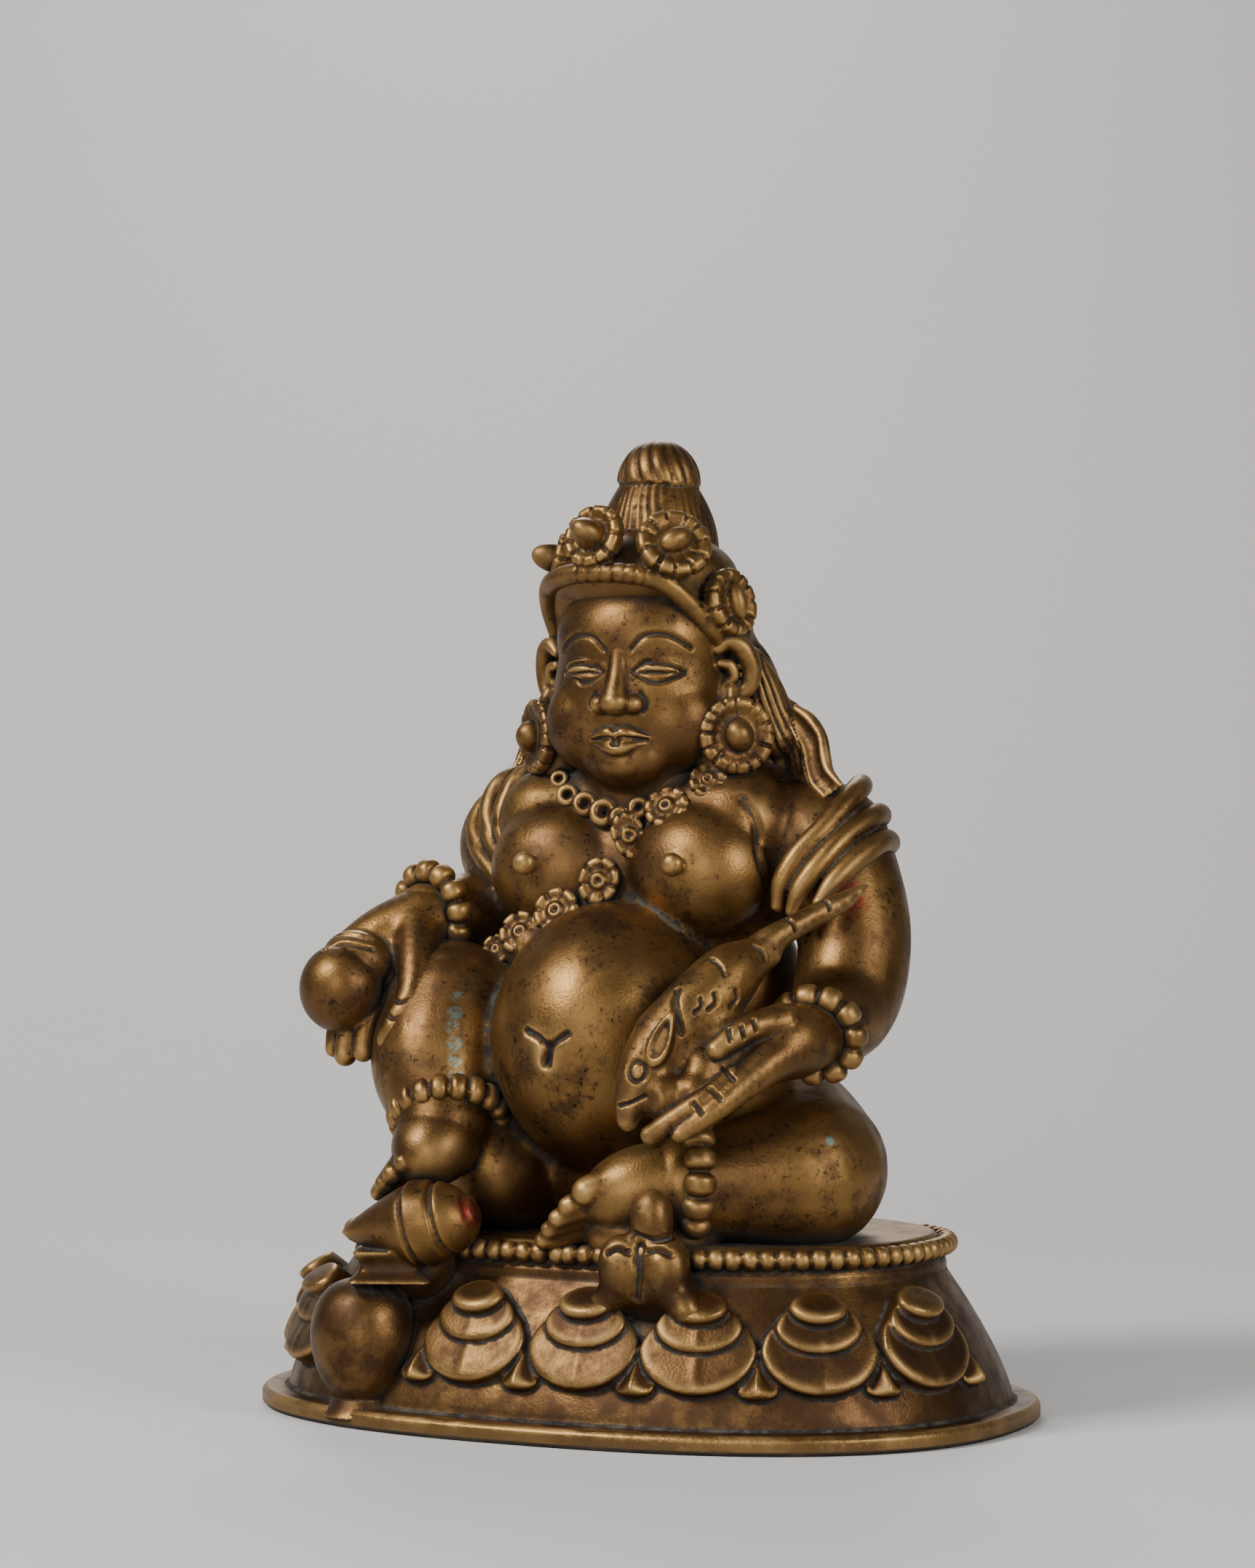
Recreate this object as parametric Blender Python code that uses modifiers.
"""Jambhala seated at royal ease on a lotus base: a small brass casting, modelled as one solid.

The figure faces -Y and its left hand is at +X. The origin is under the middle of the base.
"""

import math

import bmesh
import bpy
import numpy as np
from mathutils import Euler, Matrix, Vector

# Driving sizes, in metres.
FIGURE_HEIGHT = 0.098
BASE_WIDTH = 0.099
BASE_DEPTH = 0.071
BASE_HEIGHT = 0.023
FLANGE_THICKNESS = 0.0024
FLANGE_LEDGE = 0.0032
WAIST_INSET = 0.0112
WAIST_HEIGHT = 0.0185
RIM_INSET = 0.0112
BEAD_PITCH = 0.00205
BEAD_HEIGHT = 0.0025
PETAL_COUNT = 8
PETAL_PITCH = 0.0144
PETAL_WIDTH = 0.0140
PETAL_ROW_INSET = 0.006

# The figure is drawn on a grid on which it is 98 units tall, measured up from the seat.
DRAWN_HEIGHT = 98.0
UNIT = FIGURE_HEIGHT / DRAWN_HEIGHT

# How squarely the base's plan is rounded: 2 is an ellipse.
PLAN_ROUNDING = 2.4
# How the base's wall swells between the ledge and the waist: 1 is straight.
WALL_SWELL = 1.35

# How far the head is turned towards the figure's left, in degrees.
HEAD_TURN = 8.0

# Sizes of the casting grain, as shares of the figure's height.
SKIN_GRAIN = FIGURE_HEIGHT / 150
CAST_GRAIN = FIGURE_HEIGHT / 190
SKIN_SMOOTHING = 6
CAST_TRIANGLES = 9800


# Working shapes. Each one adds a closed form to a pile of clay.


PATTERNS = {}


def pattern(kind, *sizes):
    """The points and faces of a unit ball, globe or post, made once and kept."""
    key = (kind, *sizes)
    if key not in PATTERNS:
        form = bmesh.new()
        if kind == "ball":
            bmesh.ops.create_icosphere(form, subdivisions=sizes[0], radius=1)
        elif kind == "bead":
            bmesh.ops.create_icosphere(form, subdivisions=3, radius=1)
            for vert in form.verts:
                vert.co.y = math.copysign(abs(vert.co.y) ** 0.62, vert.co.y)
        elif kind == "globe":
            bmesh.ops.create_uvsphere(form, u_segments=sizes[0], v_segments=sizes[1], radius=1)
        else:
            bmesh.ops.create_cone(form, cap_ends=True, segments=48, radius1=1, radius2=sizes[0], depth=1)
        form.verts.ensure_lookup_table()
        points = np.array([vert.co[:] for vert in form.verts])
        faces = [tuple(vert.index for vert in face.verts) for face in form.faces]
        form.free()
        PATTERNS[key] = (points, faces)
    return PATTERNS[key]


def turned(angles):
    return Euler([math.radians(angle) for angle in angles]).to_matrix().to_4x4()


def frame_at(point, outward, up=(0, 0, 1)):
    """A matrix whose Z looks outward and whose Y is as near to up as it can be."""
    z_axis = Vector(outward).normalized()
    x_axis = Vector(up).cross(z_axis).normalized()
    y_axis = z_axis.cross(x_axis)
    axes = Matrix((x_axis, y_axis, z_axis)).transposed().to_4x4()
    return Matrix.Translation(point) @ axes


def smooth_line(points, steps):
    """A smooth line through the points, with this many steps between two of them."""
    points = np.asarray(points, dtype=float)
    if len(points) < 3:
        shares = np.linspace(0, 1, steps + 1)[:, None]
        return points[0] + (points[-1] - points[0]) * shares
    tangents = np.gradient(points, axis=0)
    found = []
    for index in range(len(points) - 1):
        start, end = points[index], points[index + 1]
        pull, push = tangents[index], tangents[index + 1]
        for share in np.arange(steps) / steps:
            square, cube = share**2, share**3
            found.append(
                start * (2 * cube - 3 * square + 1)
                + pull * (cube - 2 * square + share)
                + end * (3 * square - 2 * cube)
                + push * (cube - square)
            )
    found.append(points[-1])
    return np.array(found)


def ease(value, low, high):
    """0 below low, 1 above high, and a smooth rise between them."""
    share = np.clip((value - low) / (high - low), 0, 1)
    return share * share * (3 - 2 * share)


class Clay:
    """Closed forms, kept in metres as points and faces until they are fused into one mesh."""

    def __init__(self):
        self.blocks = []
        self.faces = []
        self.count = 0

    def spot(self, x, y, z):
        """A point of the figure's drawing grid, in metres."""
        return Vector((x * UNIT, y * UNIT, z * UNIT + BASE_HEIGHT))

    def add(self, points, faces):
        self.blocks.append(np.asarray(points, dtype=float).reshape(-1, 3))
        first = self.count
        self.faces.extend([tuple(first + index for index in face) for face in faces])
        self.count += len(self.blocks[-1])

    def put(self, place, kind, *sizes):
        points, faces = pattern(kind, *sizes)
        matrix = np.array(place)
        self.add(points @ matrix[:3, :3].T + matrix[:3, 3], faces)

    def ball(self, centre, radii, angles=(0, 0, 0), detail=4):
        """An ellipsoid of the drawing grid, turned by degrees about X, Y and Z."""
        size = Matrix.Diagonal((*[radius * UNIT for radius in radii], 1))
        self.put(Matrix.Translation(self.spot(*centre)) @ turned(angles) @ size, "ball", detail)

    def post(self, foot, low_radius, top_radius, height):
        """A round post that stands on its foot. Sizes in metres."""
        size = Matrix.Diagonal((low_radius, low_radius, height, 1))
        place = Matrix.Translation(Vector(foot) + Vector((0, 0, height / 2))) @ size
        self.put(place, "post", top_radius / low_radius)

    def shaped(self, place, reshape, segments=48, rings=24):
        """A sphere whose points, as arrays of x, y and z, are moved by reshape and then placed."""
        points, faces = pattern("globe", segments, rings)
        moved = np.stack(reshape(*points.T), axis=1)
        matrix = np.array(place)
        self.add(moved @ matrix[:3, :3].T + matrix[:3, 3], faces)

    def limb(self, points, radii, around=20, steps=7, carving=None):
        """A round limb through grid points, with a radius at each and round ends.

        Carving takes the distance along, from 0 to 1, and the turn around, and gives a share of the radius.
        """
        rows = np.column_stack([points, radii])
        line = smooth_line(rows, steps)
        path, girth = line[:, :3], line[:, 3]
        ahead = np.gradient(path, axis=0)
        ahead /= np.linalg.norm(ahead, axis=1)[:, None]
        caps = np.array([0.99, 0.86, 0.62, 0.32])
        waist = (1 - caps**2) ** 0.5
        low = [(path[0] - ahead[0] * girth[0] * cap, girth[0] * part, ahead[0]) for cap, part in zip(caps, waist)]
        high = [(path[-1] + ahead[-1] * girth[-1] * cap, girth[-1] * part, ahead[-1])
                for cap, part in zip(caps, waist)]
        high.reverse()
        rings = low + list(zip(path, girth, ahead)) + high
        side = np.cross(ahead[0], (0, 0, 1) if abs(ahead[0][2]) < 0.9 else (0, 1, 0))
        turns = np.linspace(0, math.tau, around, endpoint=False)
        found = []
        for index, (centre, radius, forward) in enumerate(rings):
            side = side - forward * side.dot(forward)
            side /= np.linalg.norm(side)
            across = np.cross(forward, side)
            reach = np.full(around, radius)
            if carving is not None:
                share = min(max((index - 4) / (len(path) - 1), 0), 1)
                reach = reach * carving(share, turns)
            circle = np.outer(np.cos(turns) * reach, side) + np.outer(np.sin(turns) * reach, across)
            found.append(centre + circle)
        points = np.concatenate(found) * UNIT + (0, 0, BASE_HEIGHT)
        faces = []
        for ring in range(len(rings) - 1):
            for step in range(around):
                here, there = ring * around + step, ring * around + (step + 1) % around
                faces.append((here, there, there + around, here + around))
        faces.append(tuple(reversed(range(around))))
        faces.append(tuple(range(len(points) - around, len(points))))
        self.add(points, faces)

    def hoop(self, ring, radius, thickness, around=48, across=12):
        """A closed ring of round section in the plane of the ring matrix, in grid units."""
        turn = np.linspace(0, math.tau, around, endpoint=False)[:, None]
        lean = np.linspace(0, math.tau, across, endpoint=False)[None, :]
        reach = radius + thickness * np.cos(lean)
        local = np.stack(
            [reach * np.cos(turn), reach * np.sin(turn), thickness * np.sin(lean) + turn * 0], axis=-1
        ).reshape(-1, 3) * UNIT
        matrix = np.array(ring)
        faces = []
        for step in range(around):
            ahead = (step + 1) % around
            for side in range(across):
                above = (side + 1) % across
                low, high = step * across, ahead * across
                faces.append((low + side, high + side, high + above, low + above))
        self.add(local @ matrix[:3, :3].T + matrix[:3, 3], faces)

    def bead_ring(self, centre, axis, radius, count, bead, long=1.15):
        """A bracelet of beads around an axis, on a cord, in grid units."""
        ring = frame_at(self.spot(*centre), axis)
        self.hoop(ring, radius - bead * 0.35, bead * 0.62)
        for index in range(count):
            turn = math.tau * index / count
            local = Vector((math.cos(turn) * radius, math.sin(turn) * radius, 0)) * UNIT
            spin = Matrix.Rotation(turn, 4, "Z")
            step = 1.04 * math.pi * radius / count / bead
            size = Matrix.Diagonal((bead * UNIT, bead * step * UNIT, bead * long * UNIT, 1))
            self.put(ring @ Matrix.Translation(local) @ spin @ size, "bead")

    def fused(self, grain, smoothing):
        """The forms joined by a voxel remesh and a smooth, as a new mesh."""
        draft = bpy.data.meshes.new("draft")
        draft.from_pydata(np.concatenate(self.blocks).tolist(), [], self.faces)
        holder = bpy.data.objects.new("draft", draft)
        bpy.context.scene.collection.objects.link(holder)
        remesh = holder.modifiers.new("fuse", "REMESH")
        remesh.mode = "VOXEL"
        remesh.voxel_size = grain
        if smoothing:
            smooth = holder.modifiers.new("round", "SMOOTH")
            smooth.factor = 0.5
            smooth.iterations = smoothing
        bpy.context.view_layer.update()
        graph = bpy.context.evaluated_depsgraph_get()
        made = bpy.data.meshes.new_from_object(holder.evaluated_get(graph))
        bpy.data.objects.remove(holder)
        bpy.data.meshes.remove(draft)
        return made


def mesh_arrays(mesh):
    """A mesh's points and its faces, as an array and a list of index lists."""
    points = np.empty(len(mesh.vertices) * 3)
    mesh.vertices.foreach_get("co", points)
    return points.reshape(-1, 3), [tuple(face.vertices) for face in mesh.polygons]


# The base: a flanged plinth of oval plan with a beaded rim and a row of hanging petals.


def plan_point(turn, inset):
    """A point of the plan outline, drawn in by inset. Turn 0 is the front, and it grows towards +X."""
    across, along = math.sin(turn), -math.cos(turn)
    power = 2 / PLAN_ROUNDING
    x = math.copysign(abs(across) ** power, across) * (BASE_WIDTH / 2 - inset)
    y = math.copysign(abs(along) ** power, along) * (BASE_DEPTH / 2 - inset)
    return Vector((x, y, 0))


def wall_inset(height):
    share = (height - FLANGE_THICKNESS) / (WAIST_HEIGHT - FLANGE_THICKNESS)
    return FLANGE_LEDGE + (WAIST_INSET - FLANGE_LEDGE) * max(share, 0) ** WALL_SWELL


def walk_plan(inset, distances):
    """Points and outward directions on the plan outline, at these distances from the front's middle."""
    steps = 720
    found = []
    trail = [plan_point(math.pi * index / steps, inset) for index in range(steps + 1)]
    lengths = [0.0]
    for before, after in zip(trail, trail[1:]):
        lengths.append(lengths[-1] + (after - before).length)
    for distance in distances:
        index = next((i for i, length in enumerate(lengths) if length >= abs(distance)), steps)
        index = min(max(index, 1), steps - 1)
        point = trail[index].copy()
        along = (trail[index + 1] - trail[index - 1]).normalized()
        outward = Vector((along.y, -along.x, 0))
        if distance < 0:
            point.x, outward.x = -point.x, -outward.x
        found.append((point, outward))
    return found


def lay_plinth(clay):
    """The flange, the swelling wall, the waist and the rim, as rings of the plan outline."""
    edge = FLANGE_THICKNESS * 0.22
    top = FLANGE_THICKNESS
    sections = [(edge, 0.0), (0.0, edge), (0.0, top - edge), (edge, top)]
    wall_steps = 14
    for index in range(wall_steps + 1):
        height = top + (WAIST_HEIGHT - top) * index / wall_steps
        sections.append((wall_inset(height), height))
    rim = BASE_HEIGHT - BEAD_HEIGHT
    sections += [(WAIST_INSET, (WAIST_HEIGHT + rim) / 2)]
    sections += [(RIM_INSET + BEAD_HEIGHT / 4, rim + BEAD_HEIGHT / 10)]
    sections += [(RIM_INSET + BEAD_HEIGHT / 4, BASE_HEIGHT - BEAD_HEIGHT / 2)]
    sections += [(RIM_INSET + BEAD_HEIGHT * 0.6, BASE_HEIGHT)]
    segments = 240
    points = []
    for inset, height in sections:
        for index in range(segments):
            point = plan_point(math.tau * index / segments, inset)
            points.append((point.x, point.y, height))
    faces = [tuple(reversed(range(segments)))]
    for level in range(len(sections) - 1):
        for index in range(segments):
            low = level * segments
            after = low + (index + 1) % segments
            faces.append((low + index, after, after + segments, low + index + segments))
    faces.append(tuple(range(len(points) - segments, len(points))))
    clay.add(points, faces)


def lay_rim_beads(clay):
    reach = 70
    distances = [BEAD_PITCH * (index - reach // 2) for index in range(reach + 1)]
    for point, outward in walk_plan(RIM_INSET - BEAD_HEIGHT / 12, distances):
        point.z = BASE_HEIGHT - BEAD_HEIGHT * 0.55
        spin = Matrix.Rotation(math.pi / 2, 4, "Z")
        size = Matrix.Diagonal((BEAD_HEIGHT / 2, BEAD_PITCH * 0.5, BEAD_HEIGHT / 2, 1))
        clay.put(frame_at(point, outward) @ spin @ size, "bead")


def lay_lobe(clay, point, outward, lift, reach_out, breadth, fall, body, lean, ridge=0.0):
    """One tier of a petal: a tongue that thickens towards its lower edge, like a shingle."""
    height, length = lift * WAIST_HEIGHT, fall * WAIST_HEIGHT
    proud, width, thickness = reach_out * PETAL_WIDTH, breadth * PETAL_WIDTH, body * PETAL_WIDTH
    centre = point + outward * (PETAL_ROW_INSET - wall_inset(height) + proud) + Vector((0, 0, height))
    tilt = math.radians(lean)
    facing = outward * math.cos(tilt) + Vector((0, 0, math.sin(tilt)))

    def reshape(x, y, z):
        rise = 0.3 + 0.7 * (1 - y) / 2 + ridge * np.exp(-((x / 0.09) ** 2)) * (y < 0.1)
        face = np.where(z > 0, thickness * rise, thickness * 1.4)
        across = np.where(y > 0, x * (1 - 0.12 * y), x)
        return across * width / 2, y * length / 2, face * np.sign(z) * np.abs(z) ** 0.28

    clay.shaped(frame_at(centre, facing), reshape, segments=72, rings=36)


def lay_petals(clay):
    span = (PETAL_COUNT - 1) / 2
    shift = -PETAL_PITCH * 0.07
    under_vase = 2
    main_row = [
        PETAL_PITCH * (index - span) + shift for index in range(PETAL_COUNT) if index != under_vase
    ]
    for point, outward in walk_plan(PETAL_ROW_INSET, main_row):
        if point.x < -0.5 * PETAL_PITCH * span:
            point += outward * PETAL_WIDTH * 0.07
        lay_lobe(clay, point, outward, 0.61, 0.03, 1.0, 0.60, 0.13, 26, ridge=0.07)
        lay_lobe(clay, point, outward, 0.755, 0.10, 0.74, 0.37, 0.13, 26, ridge=0.05)
        lay_lobe(clay, point, outward, 0.865, 0.15, 0.49, 0.27, 0.19, 36)
    between_row = [
        PETAL_PITCH * (index - span - 0.5) + shift for index in range(PETAL_COUNT + 1)
    ]
    for point, outward in walk_plan(PETAL_ROW_INSET, between_row):
        lay_leaf(clay, point, outward)


def lay_leaf(clay, point, outward):
    """The small pointed leaf between two petals, with a ridge up its middle."""
    height, tall, wide = 0.43 * WAIST_HEIGHT, 0.26 * WAIST_HEIGHT, 0.42 * PETAL_WIDTH
    centre = point + outward * (PETAL_ROW_INSET - wall_inset(height)) + Vector((0, 0, height))
    facing = outward * 0.88 + Vector((0, 0, 0.48))

    def reshape(x, y, z):
        up = (y + 1) / 2
        fold = 1 - 0.6 * np.minimum(np.abs(x) * 1.6, 1)
        face = np.where(z > 0, PETAL_WIDTH * 0.17 * (1.05 - 0.6 * up) * fold, PETAL_WIDTH * 0.1)
        return x * wide / 2 * (1.2 - 1.0 * up), y * tall / 2, face * np.sign(z) * np.abs(z) ** 0.3

    clay.shaped(frame_at(centre, facing), reshape, segments=64, rings=24)


# The figure.


def lay_skin(clay):
    clay.ball((0.2, -9.5, 23.8), (14.7, 16, 16.8))
    clay.ball((0, 3, 43), (19, 12, 14))
    clay.ball((0, 6, 26), (19, 12.5, 20))
    clay.ball((0, 4, 8), (22, 18, 10.5))
    clay.ball((-14, -9, 7), (8, 10, 9))
    clay.ball((8, -8, 3), (10, 10, 5.5))
    clay.ball((12, -18, 0.6), (6.5, 5, 3))
    for side in (-1, 1):
        clay.ball((9.6 * side, -4.8, 44.4), (9.2, 7.2, 8.4))
        clay.ball((20 * side, 6, 47), (9, 8.5, 9))
    clay.limb([(-13, 0.0, 50), (0, -0.5, 51), (13, 0.0, 50)], [7.4, 6.2, 7.4])
    clay.limb([(0, 3, 50), (0, 0, 64)], [10, 8])
    clay.limb([(-19, 7, 50), (0, 3.5, 54), (19, 7, 50)], [6, 8, 6])
    clay.limb([(21.5, 6, 47), (26.5, 4, 37), (27.4, -1, 28), (28.6, -13, 25)], [8.6, 7.2, 6.6, 4.2])
    clay.limb([(-19.5, 6, 46.5), (-20, 4.5, 39.5), (-26.4, -9, 38.6)], [7.8, 6.6, 4.2])
    clay.limb([(-9, 5, 15), (-16, -3, 22), (-21.5, -11, 26)], [13, 11.5, 9.5])
    clay.limb([(-21.5, -11, 26), (-20.5, -15.8, 19.4), (-17.8, -20.3, 13)], [9.6, 8.9, 5.6])
    clay.limb([(8, 6, 11.5), (18, 0, 10.5), (25.4, -6.5, 8.6)], [12, 11, 9.6])
    clay.limb([(25.8, -7.5, 8.2), (24.4, -11, 7.8), (14.5, -18.5, 7.2)], [9.6, 9.2, 6.0])


def lay_feet(clay):
    clay.ball((-17.8, -21.8, 11.2), (5.4, 6.6, 5.0), (32, 0, 0))
    clay.limb([(-16.6, -22.5, 12.4), (-17.2, -25.8, 10.0)], [3.2, 2.1])
    toes = [(-19.5, -26.8, 8.9), (-21.3, -26.6, 7.5), (-22.8, -26.0, 6.2), (-24.0, -25.2, 5.0)]
    for index, toe in enumerate(toes):
        clay.limb([(toe[0] + 0.8, toe[1] + 3.6, toe[2] + 2.2), toe], [1.9, 1.35 - 0.08 * index])
    clay.ball((10.8, -21.4, 6.6), (8.2, 4.8, 5.4), (0, -14, 32))
    clay.limb([(9.6, -22.6, 8.0), (5.4, -26.4, 6.4)], [2.9, 1.9])
    toes = [(3.0, -26.6, 4.6), (1.5, -26.5, 3.0), (0.2, -26.1, 1.6), (-0.9, -25.7, 0.2)]
    for index, toe in enumerate(toes):
        clay.limb([(toe[0] + 3.8, toe[1] + 1.8, toe[2] + 1.6), toe], [1.9, 1.3 - 0.06 * index])
    clay.ball((13.5, -25.3, -1), (4.4, 3.4, 3.2))
    clay.ball((8, -22.5, 1.2), (5, 3.5, 3.2))


def on_head(x, y, z):
    """A point of the head's own grid, turned as the head is turned towards the figure's left."""
    turn = math.radians(HEAD_TURN)
    return (x * math.cos(turn) - y * math.sin(turn), x * math.sin(turn) + y * math.cos(turn), z)


def lay_head(clay):
    clay.limb([(0, 3, 50), (0, 0, 64)], [10, 8])
    clay.ball(on_head(0, -1.5, 66.6), (11.3, 10.2, 12))
    clay.ball(on_head(0, -2.6, 73), (10.8, 9.0, 8.4))
    clay.ball(on_head(0, -7.4, 58.2), (5.6, 3.9, 3.8))
    for side in (-1, 1):
        clay.ball(on_head(5.0 * side, -5.0, 62.8), (6.4, 5.4, 6.4))


def lay_face(clay):
    """A calm deity's face of the casting's style, by the usual proportions."""
    ridge = [on_head(0, -9.9, 71.8), on_head(0, -10.9, 68.6), on_head(0, -11.9, 65.6)]
    clay.limb(ridge, [1.5, 1.3, 1.7])
    clay.ball(on_head(0, -12.0, 65.0), (1.9, 1.9, 1.6))
    clay.ball(on_head(0, -9.0, 57.6), (3.4, 2.6, 2.4))
    upper = [on_head(x, y, z) for x, y, z in (
        (-3.7, -10.0, 60.5), (-1.3, -11.4, 61.2), (0, -11.5, 61.0), (1.3, -11.4, 61.2), (3.7, -10.0, 60.5))]
    clay.limb(upper, [0.45, 0.85, 0.75, 0.85, 0.45])
    lower = [on_head(-3.0, -10.2, 60.1), on_head(0, -11.3, 59.3), on_head(3.0, -10.2, 60.1)]
    clay.limb(lower, [0.5, 1.0, 0.5])
    for side in (-1, 1):
        clay.ball(on_head(2.0 * side, -11.0, 64.8), (1.5, 1.7, 1.3))
        clay.ball(on_head(4.7 * side, -8.9, 69.0), (3.1, 2.0, 1.9), (0, 0, HEAD_TURN + 18 * side))


def lay_ears(clay):
    """Each ear is a thick outer roll, a thin inner curl and a dark hollow between them."""
    for side in (-1, 1):
        roll = [
            (11.2 * side, -3.0, 71.6), (12.4 * side, -2.0, 72.5), (13.7 * side, -0.8, 71.7),
            (14.4 * side, 0.2, 69.3),
            (14.0 * side, 0.0, 66.9), (12.8 * side, -1.2, 65.7),
        ]
        clay.limb(roll, [0.7, 1.1, 1.3, 1.3, 1.1, 0.8])
        curl = [
            (11.4 * side, -2.6, 69.9), (12.5 * side, -1.9, 69.6), (12.8 * side, -1.5, 68.3),
            (12.0 * side, -1.8, 67.0),
        ]
        clay.limb(curl, [0.6, 0.7, 0.7, 0.5])
        clay.ball((12.2 * side, 1.4, 69.2), (1.6, 2.2, 3.8))
        clay.ball((11.6 * side, -0.8, 65.4), (2.0, 2.2, 3.2))
        clay.ball((10.8 * side, -1.8, 58.6), (3.0, 3.0, 4.0))


def lay_mantle(clay):
    """The hair that covers the back of the head and falls over the shoulders."""
    clay.ball((0, 2.4, 74), (12.6, 11.2, 12.2))
    clay.ball((0, 7.4, 66), (16.0, 7.6, 15))
    clay.ball((0, 8.8, 58.4), (21.0, 7, 11))
    clay.ball((0, 10.5, 53), (21.5, 6.4, 12))
    clay.ball((0, 12, 45), (16, 5, 15))
    clay.ball((0, 0.6, 80.5), (11.4, 11.2, 6.5))
    brow = [
        (-10.6, -1.2, 75), (-9.6, -4.0, 78.4), (-6.6, -7.6, 80.6), (0, -9.2, 81.4), (6.2, -7.8, 80),
        (8.8, -4.6, 77),
    ]
    clay.limb(brow, [1.7] * len(brow))


def lay_locks(clay):
    """The curtain of hair behind each ear and the wavy lock that ends in a curl on the shoulder."""
    middle = [
        (17.4, 5.0, 63.6), (19.4, 4.8, 62.2), (21.2, 4.2, 60.0), (21.9, 3.6, 57.8), (22.8, 2.8, 55.9),
        (24.9, 1.6, 54.2),
    ]
    for side, reach in ((1, 1.0), (-1, 0.84)):
        clay.limb([(12.0 * side, 4.0, 70), (13.8 * side, 5.0, 66), (15.4 * side, 5.0, 61)], [2.4, 2.8, 3.0])
        for strand in range(4):
            step = (strand - 1.5) * 0.95
            path = [
                ((x + step * 0.75) * side * reach, y - 0.3 * abs(step), z + step * 0.5) for x, y, z in middle
            ]
            clay.limb(path, [0.6, 0.85, 0.9, 0.85, 0.7, 0.4], around=12)
        bed = [((x - 1.0) * side * reach, y + 2.2, z - 0.6) for x, y, z in middle]
        clay.limb(bed, [2.6, 3.0, 3.0, 2.8, 2.4, 1.6])


def lay_topknot(clay):
    """The flaring cone of drawn-up hair and the bun that overhangs it."""

    def cone(x, y, z):
        around = np.arctan2(y, x)
        share = (z + 1) / 2
        strand = np.abs(
            np.sin(around * 21 + 1.6 * np.sin(around * 3) + 0.7 * np.sin(5 * share + 2 * around))
        )
        girth = 4.7 + 3.0 * (1 - share**2)
        edge = np.minimum(1, np.hypot(x, y) * 4)
        girth = girth * edge - 0.3 * (1 - strand) ** 1.4 * edge
        return [c * UNIT for c in (girth * np.cos(around), girth * np.sin(around), 8.6 * share)]

    clay.shaped(Matrix.Translation(clay.spot(-0.5, 4.2, 84.3)), cone, 400, 70)
    clay.post(clay.spot(-0.4, 4.2, 91), 4.2 * UNIT, 4.2 * UNIT, 4 * UNIT)

    def bun(x, y, z):
        around = np.arctan2(y, x)
        height = np.where(z > 0, z * 5.5, z * 0.6)
        sway = around * 8 + 3.0 * z + 0.8 * np.sin(2 * around)
        cut = 0.4 * (1 - np.abs(np.sin(sway))) ** 1.8 * (z > -0.15) * np.hypot(x, y) ** 0.5
        girth = 5.3 - cut
        return [c * UNIT for c in (x * girth, y * girth, height * (1 - 0.08 * cut))]

    clay.shaped(Matrix.Translation(clay.spot(-0.4, 4.2, 92.9)) @ turned((0, 3, 0)), bun, 300, 90)


def lay_rosette(
    clay, place, radius, lobes=11, depth=1.3,
    knob=0.42, knob_long=1.25, knob_out=0.95, knob_turn=0.0, notch=0.62, lip=0.5,
):
    """A cupped flower disc of wedge-shaped lobes with a cabochon in its middle. Sizes in grid units."""

    def petals(x, y, z):
        around = np.arctan2(y, x)
        reach = np.hypot(x, y)
        wobble = 0.16 * np.sin(3 * around + radius) + 0.1 * np.sin(7 * around)
        gap = np.abs(np.sin((around + wobble * 0.35) * lobes / 2))
        open_share = ease(gap, 0.1, 0.42)
        edge = radius * (1 - 0.09 * (1 - open_share) * reach**3 + 0.03 * wobble)
        rim = 0.45 + lip * ease(reach, 0.5, 0.85)
        cut = notch * (1 - open_share) * ease(reach, 0.42, 0.6) * (1 - 0.75 * ease(reach, 0.9, 0.99))
        rise = depth * rim * (1 - cut)
        face = np.where(z > 0, rise, depth)
        return [c * UNIT for c in (edge * x, edge * y, face * np.sign(z) * np.abs(z) ** 0.42)]

    clay.shaped(place, petals, segments=14 * lobes, rings=36)
    size = radius * knob

    def cabochon(x, y, z):
        return [c * UNIT for c in (size * x, size * knob_long * y, size * knob_out * z + depth * 0.6)]

    clay.shaped(place @ Matrix.Rotation(math.radians(knob_turn), 4, "Z"), cabochon, 40, 24)


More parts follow.
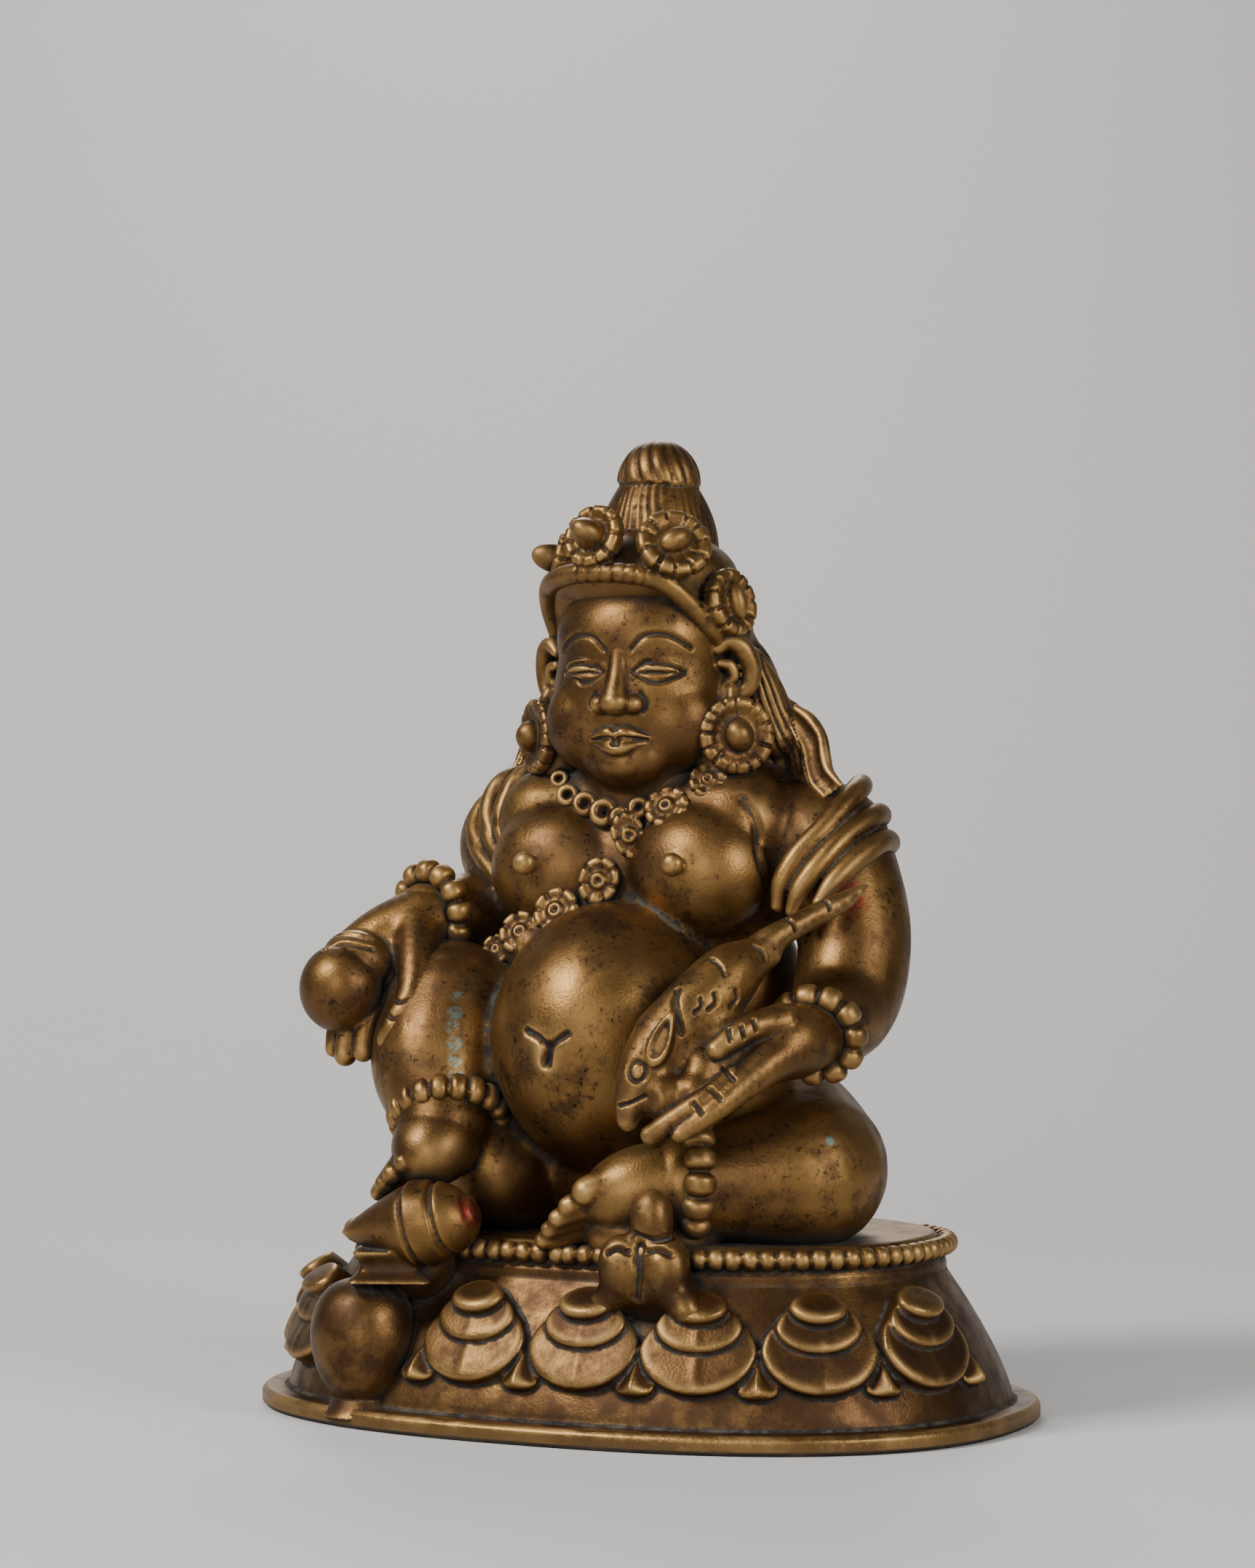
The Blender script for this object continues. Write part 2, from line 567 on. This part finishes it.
def lay_crown(clay):
    """The diadem's roll, the flower discs above it and the earrings."""
    arch = [
        (-12.0, -1.5, 74.0), (-11.8, -3.6, 77.2), (-10.4, -6.4, 79.4), (-7.6, -9.2, 80.5),
        (-2.9, -11.2, 81.0),
        (3.4, -11.2, 80.7), (7.2, -9.6, 79.6), (9.2, -7.4, 77.5), (10.9, -4.6, 74.4), (11.3, -3.0, 72.8),
    ]

    def cuts(share, turns):
        return 1 - 0.12 * max(0, math.cos(share * 230)) ** 3 * (abs(share - 0.52) < 0.1) + turns * 0

    clay.limb(arch, [1.0, 1.2, 1.25, 1.3, 1.3, 1.3, 1.25, 1.25, 1.2, 1.0], steps=24, carving=cuts)
    discs = [
        (-63, 10.9, 83.0, 3.5, 0.42, 1.25, 2.1, 0, 0.25),
        (-8, 12.0, 85.4, 4.1, 0.44, 1.25, 1.7, 70, 0.35),
        (41, 12.2, 84.4, 4.7, 0.33, 1.5, 1.1, -62, 0.6),
        (77, 13.0, 77.4, 4.3, 0.3, 1.85, 1.1, 6, 0.2),
    ]
    for turn, ring, lift, radius, knob, knob_long, knob_out, knob_turn, lean in discs:
        angle = math.radians(turn)
        outward = Vector((math.sin(angle), -math.cos(angle), lean))
        centre = clay.spot(ring * math.sin(angle), 0.8 - ring * math.cos(angle), lift)
        lay_rosette(clay, frame_at(centre, outward), radius, 11, 1.5, knob, knob_long, knob_out, knob_turn)
    for side in (-1, 1):
        outward = Vector((0.66 * side, -0.74, 0.02))
        centre = clay.spot(14.3 * side if side > 0 else -13.4, -3.8, 61.0)
        lay_rosette(clay, frame_at(centre, outward), 4.8, 16, 1.3, 0.38, 1.12, 1.15, 20 * side, 0.7, 0.55)
        hook = [(12.8 * side, -1.8, 66.4), (13.4 * side, -2.8, 64.4)]
        clay.limb(hook, [0.9, 0.9])


def lay_flower(clay, centre, facing, size, around=7, squash=1.0, spin=0.0):
    """A small flower disc of the garland, with a ring at its middle. Sizes in grid units."""
    middle = clay.spot(*centre)
    facing = Vector(facing).normalized()
    place = frame_at(middle, facing) @ Matrix.Rotation(math.radians(spin), 4, "Z")

    def disc(x, y, z):
        turn = np.arctan2(y, x)
        reach = np.hypot(x, y)
        gap = np.abs(np.sin(turn * around / 2))
        open_share = ease(gap, 0.05, 0.4)
        edge = size * (1 - 0.2 * (1 - open_share) * reach**3)
        rise = 0.8 + 0.4 * ease(reach, 0.5, 0.85) - 0.75 * (1 - open_share) * ease(reach, 0.45, 0.6)
        face = np.where(z > 0, rise, 2.2)
        return [c * UNIT for c in (edge * x * squash, edge * y, face * np.sign(z) * np.abs(z) ** 0.35)]

    clay.shaped(place, disc, segments=12 * around, rings=28)
    ring = frame_at(middle + facing * 0.8 * UNIT, facing)
    clay.hoop(ring, size * 0.22, size * 0.13, around=24, across=10)


def lay_garland(clay):
    """The collar of small tubes and flowers, and the garland that crosses to the right hip."""
    tubes = [
        (-9.9, -4.3, 55.4, 0.95), (-7.8, -6.0, 53.4, 1.15), (-5.1, -6.5, 52.3, 1.3),
        (-2.2, -7.1, 51.3, 1.45),
        (0.4, -7.5, 50.6, 1.2), (2.6, -7.0, 51.9, 1.1),
    ]
    for x, y, z, size in tubes:
        facing = Vector((0.25, -0.9, 0.3)).normalized()
        middle = clay.spot(x, y, z)
        clay.hoop(
            frame_at(middle + facing * 0.7 * UNIT, facing),
            size * 0.85,
            size * 0.48,
            around=28,
            across=12,
        )
        clay.hoop(frame_at(middle, facing), size * 0.75, size * 0.6, around=28, across=12)
    clay.ball((-11.4, -6.8, 34.6), (5.2, 5.0, 4.2))
    flowers = [
        ((6.6, -7.4, 52.0), (0.1, -0.8, 0.45), 2.9, 9, 1.0),
        ((10.9, -4.6, 55.3), (0.25, -0.8, 0.4), 2.5, 8, 1.0),
        ((1.9, -8.4, 48.6), (0.35, -0.9, 0.1), 3.1, 8, 0.72),
        ((-1.7, -9.8, 42.9), (0.2, -1, 0.1), 2.5, 7, 1.0),
        ((-6.6, -11.4, 39.1), (0.05, -0.9, 0.3), 2.7, 7, 1.0),
        ((-12.4, -10.0, 36.4), (0.1, -0.9, 0.35), 2.4, 7, 1.0),
        ((-15.4, -9.8, 34.5), (0.0, -0.9, 0.3), 1.7, 6, 1.0),
    ]
    for centre, facing, size, around, squash in flowers:
        lay_flower(clay, centre, facing, size, around, squash, 12 * centre[0])


def lay_scarf(clay):
    """Rounded bands that wrap each upper arm and narrow towards the front."""
    left = [
        [
            (22, 13, 54), (25.2, 9, 54.8), (27.2, 4, 54.4), (27.2, 1.0, 53.0), (25.7, -2.5, 49.8),
            (23.2, -4.8, 46.5), (21.5, -6.0, 43.2), (20.9, -6.2, 40.2),
        ],
        [
            (24, 13, 50), (27.8, 9, 51), (29.5, 3, 51.0), (28.0, -1.8, 48.6), (25.8, -4.8, 45.2),
            (24.0, -6.2, 42.3), (23.0, -6.6, 39.6),
        ],
        [
            (25, 13, 46.5), (29.0, 9, 47.6), (30.9, 2.2, 48.0), (29.8, -2.4, 45.9), (28.0, -5.2, 43.2),
            (26.6, -6.6, 40.6),
        ],
    ]
    for path in left:
        clay.limb(path, [1.0, *[1.45] * (len(path) - 3), 1.25, 0.8], around=24)
    right = [
        [(-15.4, 4, 57.6), (-17.4, 0, 56.2), (-18.8, -2.2, 52.4), (-18.2, -3.6, 48.8), (-15.2, -5.6, 45.2)],
        [
            (-17.5, 6, 57.5), (-20.2, 0.8, 55.6), (-21.8, -0.6, 52.4), (-20.6, -2.4, 48.2),
            (-16.6, -5.4, 43.8),
        ],
        [(-20, 8, 54), (-23.4, 3, 53.0), (-24.4, 0.4, 49.8), (-22.2, -2.2, 46.2), (-17.4, -5.4, 42.0)],
    ]

    def twist(share, turns):
        return 1 - 0.1 * np.maximum(0, np.cos(2 * turns + share * 14)) ** 3

    for path in right:
        clay.limb(path, [0.9, 1.35, 1.5, 1.45, 1.0], around=24, carving=twist)


def lay_rings(clay):
    clay.bead_ring((29, -12.6, 25), (0.2, -1, -0.3), 4.9, 11, 1.5, long=1.15)
    clay.bead_ring((-25.8, -8.6, 39.0), (-0.32, -0.9, -0.15), 5.1, 12, 1.55, long=1.1)
    clay.bead_ring((15.0, -17.6, 7.6), (-0.8, -0.55, 0.05), 6.4, 14, 1.75, long=1.15)
    clay.bead_ring((-17.9, -18.6, 14.2), (0.3, -0.53, -0.79), 6.4, 18, 1.4, long=1.3)


def lay_palms(clay):
    clay.limb([(28.6, -13, 25), (27.6, -17.4, 24.2), (26, -20.5, 22.6)], [4.2, 4.6, 3.4])
    index = [
        (28.2, -19, 23.4), (27.0, -22.6, 21.8), (25.0, -26.4, 19.1), (22.6, -29.2, 16.3),
        (19.8, -30.9, 14.1),
    ]
    clay.limb(index, [3.2, 2.5, 1.9, 1.6, 1.25])
    clay.limb([(-26.4, -9.4, 37.8), (-30.6, -12.8, 35.8), (-33.6, -15.4, 33.4)], [4.6, 3.9, 3.3])
    clay.ball((-28.5, -13, 31.6), (4.4, 4.2, 5.4))
    thumb = [
        (-26.0, -12, 37.0), (-24.0, -15.9, 33.1), (-23.0, -18.6, 28.9), (-24.0, -20.2, 25.8),
        (-25.2, -21.0, 23.4),
    ]
    clay.limb(thumb, [3.2, 2.6, 2.2, 1.95, 1.6])


def lay_fingers(clay):
    clay.limb(
        [(24.7, -25.6, 20.4), (21.6, -29.2, 17.7), (18.4, -30.8, 15.4), (16.2, -31.3, 13.9)],
        [1.6, 1.4, 1.3, 1.15],
    )
    clay.limb(
        [(27.6, -19.4, 26.8), (25.6, -22.8, 26.4), (23.8, -25.2, 25.0), (22.6, -26.6, 23.8)],
        [2.4, 1.75, 1.5, 1.25],
    )
    clay.limb([(-28.4, -15, 29), (-29.2, -18.8, 25.6), (-29.3, -20.0, 21.8)], [2.0, 1.5, 1.35])
    clay.limb([(-31.0, -15, 28), (-31.8, -18.8, 24.6), (-31.9, -19.9, 21.3)], [2.0, 1.5, 1.45])
    clay.limb([(-33.4, -14.5, 28), (-34.2, -17.8, 24.6), (-34.2, -18.8, 22.0)], [1.9, 1.35, 1.15])
    clay.ball((-32.7, -19.6, 29.6), (5.3, 5.1, 5.6), (8, 14, 0))
    clay.ball((-31.4, -17.4, 33.2), (4.6, 4.4, 3.5), (0, 14, 0))


def lay_mongoose(clay):
    clay.limb(
        [(32.0, -4.5, 42.6), (29.6, -8.3, 40.4), (26.7, -11.8, 38.4), (23.6, -15.2, 36.0)],
        [0.7, 1.45, 1.55, 1.9],
    )
    clay.ball((23.4, -15.2, 34.9), (2.4, 1.4, 2.3), (0, 30, 0))
    clay.limb(
        [(22.4, -16, 34.2), (20.7, -19, 32.3), (18.4, -22.8, 28.5), (15.6, -26.2, 25.3)],
        [2.6, 3.9, 4.3, 3.8],
    )
    clay.limb(
        [(15.6, -26.2, 25.3), (13.9, -28.4, 21.3), (13.0, -29.8, 17.3), (12.7, -30.2, 15.4)],
        [3.8, 3.1, 2.1, 1.5],
    )
    clay.ball((16.8, -28.4, 18), (2.2, 2.6, 3.2))
    clay.ball((21.8, -22.2, 24.6), (3.4, 3.6, 3.6))
    clay.ball((20.2, -25.0, 21.0), (3.0, 3.0, 3.4))
    clay.ball((20.0, -27.4, 18.4), (2.6, 2.4, 2.8))


def lay_mongoose_ear(clay):
    """A leaf-shaped ear that lies back along the neck, with a hollow in it."""
    facing = Vector((0.12, -1, 0.16))
    place = frame_at(clay.spot(17.0, -29.6, 25.0), facing, (0.35, 0, 1))

    def leaf(x, y, z):
        reach = np.hypot(x, y)
        taper = 1 - 0.35 * y
        face = np.where(z > 0, 0.35 + 0.75 * ease(reach, 0.5, 0.8), 1.2)
        return [c * UNIT for c in (1.3 * x * taper, 3.5 * y, face * np.sign(z) * np.abs(z) ** 0.4)]

    clay.shaped(place, leaf, 48, 28)


def lay_offerings(clay):
    """The conch under the right foot, its stand and the vase below."""

    def conch(x, y, z):
        girth = np.maximum(np.sqrt(np.maximum(1 - z**2, 0)), 1e-6)
        spire = np.where(
            z < 0.1,
            np.maximum((z + 1) / 1.1, 0) ** 0.8,
            np.sqrt(np.maximum(1 - ((z - 0.1) / 0.92) ** 2, 0)),
        )
        winding = z * 15 + np.arctan2(y, -x)
        whorl = 1 - 0.13 * np.maximum(0, np.cos(winding)) ** 7 * ease(z, -0.05, 0.15)
        spread = spire * whorl / girth
        return [c * UNIT for c in (9.0 * z, 5.3 * y * spread, 5.3 * -x * spread)]

    clay.shaped(Matrix.Translation(clay.spot(-18.0, -28.2, 1.6)) @ turned((0, -8, 8)), conch, 120, 120)
    stand_foot = clay.spot(-20.6, -28.0, -5.3)
    flare = 4.0 * UNIT
    post = Matrix.Translation(stand_foot) @ Matrix.Rotation(math.radians(24), 4, "Z")

    def stand(x, y, z):
        share = (z + 1) / 2
        width = 1.26 - 0.36 * ease(share, 0.0, 0.45) + 0.2 * ease(share, 0.55, 1.0)
        reach = np.maximum(np.hypot(x, y), 1e-6)
        square = np.maximum(np.maximum(np.abs(x), np.abs(y)) / reach, 0.76)
        edge = np.minimum(1, reach * 5) / square / reach
        return flare * width * x * edge, flare * width * y * edge, share * 3.9 * UNIT

    clay.shaped(post, stand, 96, 48)
    vase_top = stand_foot.z + 0.2 * UNIT
    vase_foot = FLANGE_THICKNESS * 0.8
    middle = Vector((-24.4 * UNIT, -28.3 * UNIT, (vase_top + vase_foot) / 2))

    def vase(x, y, z):
        belly = (1 + 0.13 * z - 0.03 * z**2) * np.maximum(1 - z**2, 1e-9) ** -0.1
        tall = (vase_top - vase_foot) / 2
        return 6.5 * UNIT * x * belly, 6.1 * UNIT * y * belly, tall * z

    clay.shaped(Matrix.Translation(middle), vase, 80, 50)
    clay.post(
        (middle.x, middle.y, FLANGE_THICKNESS * 0.5),
        5.0 * UNIT,
        3.4 * UNIT,
        FLANGE_THICKNESS,
    )
    clay.ball((-18.5, -24.6, -3.2), (4.6, 4.4, 4.6))
    clay.ball((-17.5, -24.5, 2), (4, 3.5, 4))


def lay_jewels(clay):
    """The three jewels that stand in front of the left foot, on two short legs."""
    clay.ball((14.3, -27.0, 3.6), (2.7, 2.6, 3.8))
    clay.ball((10.9, -28.0, -2.2), (3.1, 2.8, 4.1), (0, -6, 0))
    clay.ball((16.3, -27.5, -2.4), (3.1, 2.8, 4.1), (0, 6, 0))
    clay.ball((13.5, -27.3, -3.6), (4.4, 2.4, 3.5))
    clay.ball((13.6, -25.4, -4.6), (5.5, 2.8, 4.4))
    clay.limb([(10.4, -27.4, -4.6), (8.4, -28.0, -6.6)], [2.3, 1.9])
    clay.limb([(17.0, -27.0, -4.8), (19.2, -27.6, -6.8)], [2.3, 1.9])


# Casting: the forms are fused by remeshing, first the soft ones so that they are rounded where they meet.


def lay_nipples(clay):
    for side in (-1, 1):
        clay.ball((10.2 * side, -13.4, 45.2), (1.5, 1.2, 1.5))


def rounded(*layers):
    """The layers fused and smoothed, as one mesh."""
    clay = Clay()
    for lay in layers:
        lay(clay)
    return mesh_arrays(clay.fused(SKIN_GRAIN, SKIN_SMOOTHING))


def bedded(mesh):
    """The mesh centred over the origin, with a true flat underside at zero height."""
    width = [vert.co.x for vert in mesh.vertices]
    depth = [vert.co.y for vert in mesh.vertices]
    shift = Vector(((max(width) + min(width)) / 2, (max(depth) + min(depth)) / 2, 0))
    for vert in mesh.vertices:
        vert.co -= shift
        if vert.co.z < CAST_GRAIN * 0.4:
            vert.co.z = 0
    return mesh


def cast():
    clay = Clay()
    clay.add(*rounded(lay_skin, lay_head, lay_mantle, lay_palms, lay_mongoose, lay_jewels))
    for lay in (
        lay_garland, lay_plinth, lay_rim_beads, lay_petals, lay_feet, lay_face, lay_ears, lay_locks, lay_topknot,
        lay_crown,
        lay_scarf, lay_rings, lay_nipples, lay_fingers, lay_mongoose_ear, lay_offerings,
    ):
        lay(clay)
    statue = bpy.data.objects.new("statue", bedded(clay.fused(CAST_GRAIN, 1)))
    collection = bpy.data.collections.new("jambhala")
    bpy.context.scene.collection.children.link(collection)
    collection.objects.link(statue)
    thin = statue.modifiers.new("thin", "DECIMATE")
    thin.use_collapse_triangulate = True
    thin.ratio = CAST_TRIANGLES / (2 * len(statue.data.polygons))
    return statue


def brass():
    material = bpy.data.materials.new("aged_brass")
    material.use_nodes = True
    shader = material.node_tree.nodes["Principled BSDF"]
    shader.inputs["Base Color"].default_value = (0.30, 0.165, 0.05, 1)
    shader.inputs["Metallic"].default_value = 0.85
    shader.inputs["Roughness"].default_value = 0.42
    return material


def main():
    for old in list(bpy.data.objects):
        bpy.data.objects.remove(old)
    statue = cast()
    statue.data.materials.append(brass())


main()
